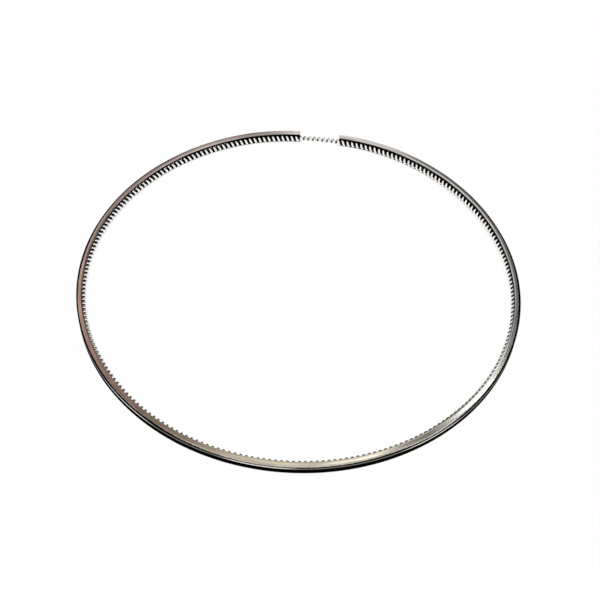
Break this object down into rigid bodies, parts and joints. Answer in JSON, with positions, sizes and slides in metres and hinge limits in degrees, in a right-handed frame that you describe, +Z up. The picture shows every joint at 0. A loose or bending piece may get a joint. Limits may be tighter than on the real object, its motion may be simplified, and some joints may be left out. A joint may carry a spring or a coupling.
{
  "type": "oil control piston ring",
  "caption": "Oil control piston ring with bevelled lands, a drain groove and slots, and a coil spring expander in its inner groove, open in its free state.",
  "frame": {"origin": "centre of the ring's circle, on the plane that the ring lies on", "axes": "+Z up along the ring's axis, +Y towards the gap between the ring's tips"},
  "size_m": [0.1414, 0.1405, 0.004],
  "materials": {
    "ring_steel": "ground side faces, dark running face",
    "spring_wire": "bright drawn wire",
    "joiner_wire": "drawn wire"
  },
  "bodies": {
    "root": {"ring_body": "ring_steel", "coil_spring": "spring_wire", "joining_wire": "joiner_wire"}
  },
  "joints": []
}
